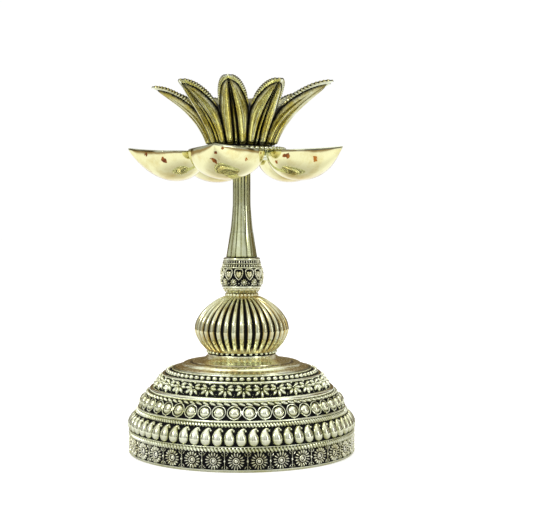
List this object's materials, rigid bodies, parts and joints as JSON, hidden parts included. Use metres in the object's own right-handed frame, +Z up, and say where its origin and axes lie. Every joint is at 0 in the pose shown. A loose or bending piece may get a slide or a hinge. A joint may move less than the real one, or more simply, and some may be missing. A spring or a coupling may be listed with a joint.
{
  "type": "standing oil lamp",
  "caption": "Standing table oil lamp: banded dome base, fluted bulb, slender stem, tray of leaf-shaped oil cups and a screw-on lotus crown.",
  "frame": {"origin": "centre of the circle that the base stands on", "axes": "+Z up along the stem, -Y towards the front, +X to the right"},
  "size_m": [0.1084, 0.1084, 0.1751],
  "materials": {
    "antique_brass": "cast brass, raised work polished, recesses dark with patina",
    "polished_brass": "mirror-polished pale brass",
    "olive_brass": "satin olive-gold brass with dark grooves",
    "zinc_plated_steel": "zinc-plated"
  },
  "bodies": {
    "stand": {"base_dome": "antique_brass", "bulb_seat_ring": "antique_brass", "bulb_lower_half": "antique_brass", "bulb_upper_half": "antique_brass", "collar_knop": "antique_brass", "stem_lower": "antique_brass", "stem_upper": "antique_brass", "tie_rod": "zinc_plated_steel", "base_washer": "zinc_plated_steel", "base_nut": "zinc_plated_steel"},
    "cup_tray": {"tray_hub": "antique_brass", "cup_front": "polished_brass", "cup_right": "polished_brass", "cup_back_right": "polished_brass", "cup_back_left": "polished_brass", "cup_left": "polished_brass"},
    "crown_washer": {"crown_washer": "zinc_plated_steel"},
    "lotus_crown": {"crown_socket": "olive_brass", "petal_01": "olive_brass", "petal_02": "olive_brass", "petal_03": "olive_brass", "petal_04": "olive_brass", "petal_05": "olive_brass", "petal_06": "olive_brass", "petal_07": "olive_brass", "petal_08": "olive_brass", "petal_09": "olive_brass", "petal_10": "olive_brass"}
  },
  "joints": [
    {"name": "tray_turn", "type": "hinge", "parent": "stand", "child": "cup_tray", "pos_m": [0, 0, 0.14], "axis": [0, 0, 1], "continuous": true},
    {"name": "crown_lift", "type": "slide", "parent": "stand", "child": "crown_washer", "axis": [0, 0, 1], "range_m": [0, 0.006]},
    {"name": "crown_unscrew", "type": "hinge", "parent": "crown_washer", "child": "lotus_crown", "pos_m": [0, 0, 0.147], "axis": [0, 0, 1], "range_deg": [0, 2160]}
  ],
  "couplings": [
    {"joint": "crown_lift", "follows": "crown_unscrew", "m_per_rad": 0.000159}
  ]
}
